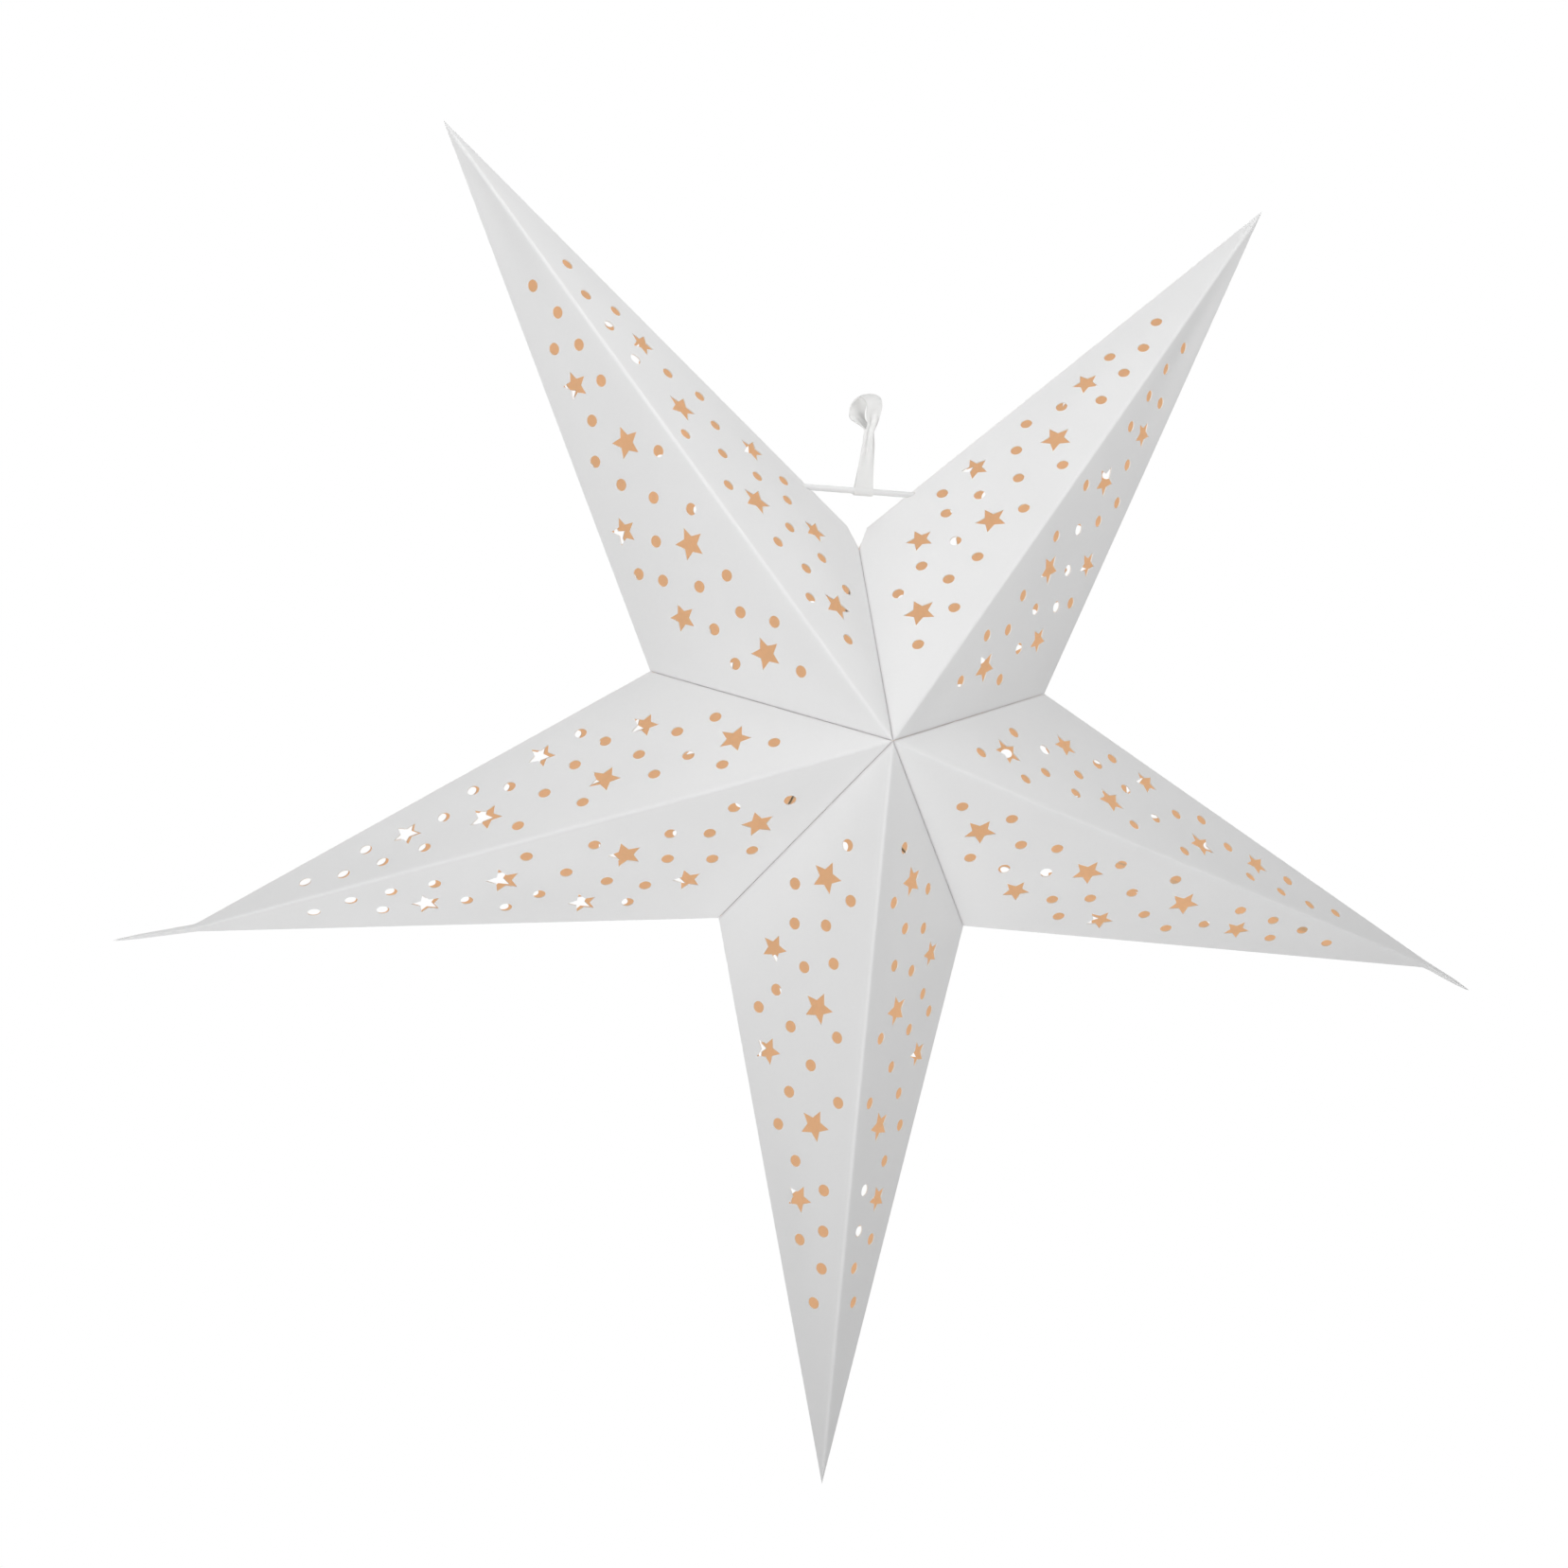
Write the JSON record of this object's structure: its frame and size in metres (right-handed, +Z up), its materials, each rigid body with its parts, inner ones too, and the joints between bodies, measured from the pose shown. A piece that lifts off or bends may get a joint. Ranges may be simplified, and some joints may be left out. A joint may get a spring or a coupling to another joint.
{
  "type": "paper star lantern",
  "caption": "Hollow five-pointed star lantern of creased, punched white card that folds flat, hung by a tape on a small rod.",
  "frame": {"origin": "where a hook bears inside the top of the hanging tape; the middle of the star is straight below", "axes": "+Z up, +X to the right as seen from the front, +Y from the front of the star to its back"},
  "size_m": [0.5618, 0.1327, 0.5342],
  "materials": {
    "card": "matt, white outside and buff inside",
    "tape": "plain woven cotton tape",
    "rod": "satin"
  },
  "bodies": {
    "hanging_tape": {"hanging_tape": "tape"},
    "spreader_rod": {"spreader_rod": "rod"},
    "upper_left_ray_front_right_panel": {"upper_left_ray_front_right_panel": "card"},
    "upper_left_ray_front_left_panel": {"upper_left_ray_front_left_panel": "card"},
    "upper_left_ray_back_left_panel": {"upper_left_ray_back_left_panel": "card"},
    "upper_left_ray_back_right_panel": {"upper_left_ray_back_right_panel": "card"},
    "left_ray_front_right_panel": {"left_ray_front_right_panel": "card"},
    "glued_lap_upper_left_to_left_front": {"glued_lap_upper_left_to_left_front": "card"},
    "glued_lap_upper_left_to_left_back": {"glued_lap_upper_left_to_left_back": "card"},
    "left_ray_front_left_panel": {"left_ray_front_left_panel": "card"},
    "left_ray_back_left_panel": {"left_ray_back_left_panel": "card"},
    "left_ray_back_right_panel": {"left_ray_back_right_panel": "card"},
    "bottom_ray_front_right_panel": {"bottom_ray_front_right_panel": "card"},
    "glued_lap_left_to_bottom_front": {"glued_lap_left_to_bottom_front": "card"},
    "glued_lap_left_to_bottom_back": {"glued_lap_left_to_bottom_back": "card"},
    "bottom_ray_front_left_panel": {"bottom_ray_front_left_panel": "card"},
    "bottom_ray_back_left_panel": {"bottom_ray_back_left_panel": "card"},
    "bottom_ray_back_right_panel": {"bottom_ray_back_right_panel": "card"},
    "right_ray_front_right_panel": {"right_ray_front_right_panel": "card"},
    "glued_lap_bottom_to_right_front": {"glued_lap_bottom_to_right_front": "card"},
    "glued_lap_bottom_to_right_back": {"glued_lap_bottom_to_right_back": "card"},
    "right_ray_front_left_panel": {"right_ray_front_left_panel": "card"},
    "right_ray_back_left_panel": {"right_ray_back_left_panel": "card"},
    "right_ray_back_right_panel": {"right_ray_back_right_panel": "card"},
    "upper_right_ray_front_right_panel": {"upper_right_ray_front_right_panel": "card"},
    "glued_lap_right_to_upper_right_front": {"glued_lap_right_to_upper_right_front": "card"},
    "glued_lap_right_to_upper_right_back": {"glued_lap_right_to_upper_right_back": "card"},
    "upper_right_ray_front_left_panel": {"upper_right_ray_front_left_panel": "card"},
    "upper_right_ray_back_left_panel": {"upper_right_ray_back_left_panel": "card"},
    "upper_right_ray_back_right_panel": {"upper_right_ray_back_right_panel": "card"},
    "open_lap_upper_left_front": {"open_lap_upper_left_front": "card"},
    "open_lap_upper_left_back": {"open_lap_upper_left_back": "card"},
    "open_lap_upper_right_front": {"open_lap_upper_right_front": "card"},
    "open_lap_upper_right_back": {"open_lap_upper_right_back": "card"}
  },
  "joints": [
    {"name": "tilt_on_tape", "type": "hinge", "parent": "hanging_tape", "child": "spreader_rod", "pos_m": [0, 0, -0.0393], "axis": [1, 0, 0], "range_deg": [-30, 30]},
    {"name": "rod_withdrawal", "type": "slide", "parent": "spreader_rod", "child": "upper_left_ray_front_right_panel", "axis": [-1, 0, 0], "range_m": [0, 0.03001]},
    {"name": "upper_left_front_ridge_fold", "type": "hinge", "parent": "upper_left_ray_front_right_panel", "child": "upper_left_ray_front_left_panel", "pos_m": [0, -0.06714, -0.1463], "axis": [0.5732, -0.2211, -0.789], "range_deg": [0, 90.25]},
    {"name": "upper_left_left_side_fold", "type": "hinge", "parent": "upper_left_ray_front_left_panel", "child": "upper_left_ray_back_left_panel", "pos_m": [-0.17634, 0, 0.09641], "axis": [-0.394, 0, 0.9191], "range_deg": [0, 87.45]},
    {"name": "upper_left_right_side_fold", "type": "hinge", "parent": "upper_left_ray_front_right_panel", "child": "upper_left_ray_back_right_panel", "pos_m": [-0.17634, 0, 0.09641], "axis": [0.7523, 0, -0.6588], "range_deg": [0, 87.45]},
    {"name": "upper_left_to_left_front_seam", "type": "hinge", "parent": "upper_left_ray_front_left_panel", "child": "left_ray_front_right_panel", "pos_m": [0, -0.06821, -0.1463], "axis": [-0.7535, 0.6101, 0.2448], "range_deg": [0, 121.44]},
    {"name": "glued_lap_upper_left_to_left_front_crease", "type": "hinge", "parent": "upper_left_ray_front_left_panel", "child": "glued_lap_upper_left_to_left_front", "pos_m": [0, -0.06821, -0.1463], "axis": [-0.7535, 0.6101, 0.2448], "range_deg": [0, 60.73]},
    {"name": "glued_lap_upper_left_to_left_back_crease", "type": "hinge", "parent": "upper_left_ray_back_left_panel", "child": "glued_lap_upper_left_to_left_back", "pos_m": [0, 0.06821, -0.1463], "axis": [0.7535, 0.6101, -0.2448], "range_deg": [0, 60.73]},
    {"name": "left_front_ridge_fold", "type": "hinge", "parent": "left_ray_front_right_panel", "child": "left_ray_front_left_panel", "pos_m": [0, -0.06714, -0.1463], "axis": [0.9275, -0.2211, 0.3014], "range_deg": [0, 90.26]},
    {"name": "left_left_side_fold", "type": "hinge", "parent": "left_ray_front_left_panel", "child": "left_ray_back_left_panel", "pos_m": [-0.28532, 0, -0.239], "axis": [-0.9959, 0, -0.0907], "range_deg": [0, 87.45]},
    {"name": "left_right_side_fold", "type": "hinge", "parent": "left_ray_front_right_panel", "child": "left_ray_back_right_panel", "pos_m": [-0.28532, 0, -0.239], "axis": [0.859, 0, 0.5119], "range_deg": [0, 87.45]},
    {"name": "left_to_bottom_front_seam", "type": "hinge", "parent": "left_ray_front_left_panel", "child": "bottom_ray_front_right_panel", "pos_m": [0, -0.06821, -0.1463], "axis": [-0.4657, 0.6101, -0.641], "range_deg": [0, 121.44]},
    {"name": "glued_lap_left_to_bottom_front_crease", "type": "hinge", "parent": "left_ray_front_left_panel", "child": "glued_lap_left_to_bottom_front", "pos_m": [0, -0.06821, -0.1463], "axis": [-0.4657, 0.6101, -0.641], "range_deg": [0, 60.73]},
    {"name": "glued_lap_left_to_bottom_back_crease", "type": "hinge", "parent": "left_ray_back_left_panel", "child": "glued_lap_left_to_bottom_back", "pos_m": [0, 0.06821, -0.1463], "axis": [0.4657, 0.6101, 0.641], "range_deg": [0, 60.73]},
    {"name": "bottom_front_ridge_fold", "type": "hinge", "parent": "bottom_ray_front_right_panel", "child": "bottom_ray_front_left_panel", "pos_m": [0, -0.06714, -0.1463], "axis": [0, -0.2211, 0.9753], "range_deg": [0, 90.26]},
    {"name": "bottom_left_side_fold", "type": "hinge", "parent": "bottom_ray_front_left_panel", "child": "bottom_ray_back_left_panel", "pos_m": [0, 0, -0.44629], "axis": [-0.2214, 0, -0.9752], "range_deg": [0, 87.45]},
    {"name": "bottom_right_side_fold", "type": "hinge", "parent": "bottom_ray_front_right_panel", "child": "bottom_ray_back_right_panel", "pos_m": [0, 0, -0.44629], "axis": [-0.2214, 0, 0.9752], "range_deg": [0, 87.45]},
    {"name": "bottom_to_right_front_seam", "type": "hinge", "parent": "bottom_ray_front_left_panel", "child": "right_ray_front_right_panel", "pos_m": [0, -0.06821, -0.1463], "axis": [0.4657, 0.6101, -0.641], "range_deg": [0, 121.44]},
    {"name": "glued_lap_bottom_to_right_front_crease", "type": "hinge", "parent": "bottom_ray_front_left_panel", "child": "glued_lap_bottom_to_right_front", "pos_m": [0, -0.06821, -0.1463], "axis": [0.4657, 0.6101, -0.641], "range_deg": [0, 60.73]},
    {"name": "glued_lap_bottom_to_right_back_crease", "type": "hinge", "parent": "bottom_ray_back_left_panel", "child": "glued_lap_bottom_to_right_back", "pos_m": [0, 0.06821, -0.1463], "axis": [-0.4657, 0.6101, 0.641], "range_deg": [0, 60.73]},
    {"name": "right_front_ridge_fold", "type": "hinge", "parent": "right_ray_front_right_panel", "child": "right_ray_front_left_panel", "pos_m": [0, -0.06714, -0.1463], "axis": [-0.9275, -0.2211, 0.3014], "range_deg": [0, 90.26]},
    {"name": "right_left_side_fold", "type": "hinge", "parent": "right_ray_front_left_panel", "child": "right_ray_back_left_panel", "pos_m": [0.28532, 0, -0.239], "axis": [0.859, 0, -0.5119], "range_deg": [0, 87.45]},
    {"name": "right_right_side_fold", "type": "hinge", "parent": "right_ray_front_right_panel", "child": "right_ray_back_right_panel", "pos_m": [0.28532, 0, -0.239], "axis": [-0.9959, 0, 0.0907], "range_deg": [0, 87.45]},
    {"name": "right_to_upper_right_front_seam", "type": "hinge", "parent": "right_ray_front_left_panel", "child": "upper_right_ray_front_right_panel", "pos_m": [0, -0.06821, -0.1463], "axis": [0.7535, 0.6101, 0.2448], "range_deg": [0, 121.44]},
    {"name": "glued_lap_right_to_upper_right_front_crease", "type": "hinge", "parent": "right_ray_front_left_panel", "child": "glued_lap_right_to_upper_right_front", "pos_m": [0, -0.06821, -0.1463], "axis": [0.7535, 0.6101, 0.2448], "range_deg": [0, 60.73]},
    {"name": "glued_lap_right_to_upper_right_back_crease", "type": "hinge", "parent": "right_ray_back_left_panel", "child": "glued_lap_right_to_upper_right_back", "pos_m": [0, 0.06821, -0.1463], "axis": [-0.7535, 0.6101, -0.2448], "range_deg": [0, 60.73]},
    {"name": "upper_right_front_ridge_fold", "type": "hinge", "parent": "upper_right_ray_front_right_panel", "child": "upper_right_ray_front_left_panel", "pos_m": [0, -0.06714, -0.1463], "axis": [-0.5732, -0.2211, -0.789], "range_deg": [0, 90.26]},
    {"name": "upper_right_left_side_fold", "type": "hinge", "parent": "upper_right_ray_front_left_panel", "child": "upper_right_ray_back_left_panel", "pos_m": [0.17634, 0, 0.09641], "axis": [0.7523, 0, 0.6588], "range_deg": [0, 87.45]},
    {"name": "upper_right_right_side_fold", "type": "hinge", "parent": "upper_right_ray_front_right_panel", "child": "upper_right_ray_back_right_panel", "pos_m": [0.17634, 0, 0.09641], "axis": [-0.394, 0, -0.9191], "range_deg": [0, 87.45]},
    {"name": "open_lap_upper_left_front_crease", "type": "hinge", "parent": "upper_left_ray_front_right_panel", "child": "open_lap_upper_left_front", "pos_m": [0, -0.06821, -0.1463], "axis": [0, -0.6101, -0.7923], "range_deg": [0, 60.73]},
    {"name": "open_lap_upper_left_back_crease", "type": "hinge", "parent": "upper_left_ray_back_right_panel", "child": "open_lap_upper_left_back", "pos_m": [0, 0.06821, -0.1463], "axis": [0, -0.6101, 0.7923], "range_deg": [0, 60.73]},
    {"name": "open_lap_upper_right_front_crease", "type": "hinge", "parent": "upper_right_ray_front_left_panel", "child": "open_lap_upper_right_front", "pos_m": [0, -0.06821, -0.1463], "axis": [0, 0.6101, 0.7923], "range_deg": [0, 60.73]},
    {"name": "open_lap_upper_right_back_crease", "type": "hinge", "parent": "upper_right_ray_back_left_panel", "child": "open_lap_upper_right_back", "pos_m": [0, 0.06821, -0.1463], "axis": [0, 0.6101, -0.7923], "range_deg": [0, 60.73]}
  ],
  "couplings": [
    {"joint": "upper_left_left_side_fold", "follows": "upper_left_front_ridge_fold", "ratio": 0.96884},
    {"joint": "upper_left_right_side_fold", "follows": "upper_left_front_ridge_fold", "ratio": 0.96884},
    {"joint": "upper_left_to_left_front_seam", "follows": "upper_left_front_ridge_fold", "ratio": 1.3454},
    {"joint": "glued_lap_upper_left_to_left_front_crease", "follows": "upper_left_front_ridge_fold", "ratio": 0.67272},
    {"joint": "glued_lap_upper_left_to_left_back_crease", "follows": "upper_left_front_ridge_fold", "ratio": 0.67272},
    {"joint": "left_front_ridge_fold", "follows": "upper_left_front_ridge_fold", "ratio": 1},
    {"joint": "left_left_side_fold", "follows": "upper_left_front_ridge_fold", "ratio": 0.96884},
    {"joint": "left_right_side_fold", "follows": "upper_left_front_ridge_fold", "ratio": 0.96884},
    {"joint": "left_to_bottom_front_seam", "follows": "upper_left_front_ridge_fold", "ratio": 1.3454},
    {"joint": "glued_lap_left_to_bottom_front_crease", "follows": "upper_left_front_ridge_fold", "ratio": 0.67272},
    {"joint": "glued_lap_left_to_bottom_back_crease", "follows": "upper_left_front_ridge_fold", "ratio": 0.67272},
    {"joint": "bottom_front_ridge_fold", "follows": "upper_left_front_ridge_fold", "ratio": 1},
    {"joint": "bottom_left_side_fold", "follows": "upper_left_front_ridge_fold", "ratio": 0.96884},
    {"joint": "bottom_right_side_fold", "follows": "upper_left_front_ridge_fold", "ratio": 0.96884},
    {"joint": "bottom_to_right_front_seam", "follows": "upper_left_front_ridge_fold", "ratio": 1.3454},
    {"joint": "glued_lap_bottom_to_right_front_crease", "follows": "upper_left_front_ridge_fold", "ratio": 0.67272},
    {"joint": "glued_lap_bottom_to_right_back_crease", "follows": "upper_left_front_ridge_fold", "ratio": 0.67272},
    {"joint": "right_front_ridge_fold", "follows": "upper_left_front_ridge_fold", "ratio": 1},
    {"joint": "right_left_side_fold", "follows": "upper_left_front_ridge_fold", "ratio": 0.96884},
    {"joint": "right_right_side_fold", "follows": "upper_left_front_ridge_fold", "ratio": 0.96884},
    {"joint": "right_to_upper_right_front_seam", "follows": "upper_left_front_ridge_fold", "ratio": 1.3454},
    {"joint": "glued_lap_right_to_upper_right_front_crease", "follows": "upper_left_front_ridge_fold", "ratio": 0.67272},
    {"joint": "glued_lap_right_to_upper_right_back_crease", "follows": "upper_left_front_ridge_fold", "ratio": 0.67272},
    {"joint": "upper_right_front_ridge_fold", "follows": "upper_left_front_ridge_fold", "ratio": 1},
    {"joint": "upper_right_left_side_fold", "follows": "upper_left_front_ridge_fold", "ratio": 0.96884},
    {"joint": "upper_right_right_side_fold", "follows": "upper_left_front_ridge_fold", "ratio": 0.96884},
    {"joint": "open_lap_upper_left_front_crease", "follows": "upper_left_front_ridge_fold", "ratio": 0.67272},
    {"joint": "open_lap_upper_left_back_crease", "follows": "upper_left_front_ridge_fold", "ratio": 0.67272},
    {"joint": "open_lap_upper_right_front_crease", "follows": "upper_left_front_ridge_fold", "ratio": 0.67272},
    {"joint": "open_lap_upper_right_back_crease", "follows": "upper_left_front_ridge_fold", "ratio": 0.67272},
    {"joint": "rod_withdrawal", "follows": "upper_left_front_ridge_fold", "m_per_rad": 0.019045}
  ]
}
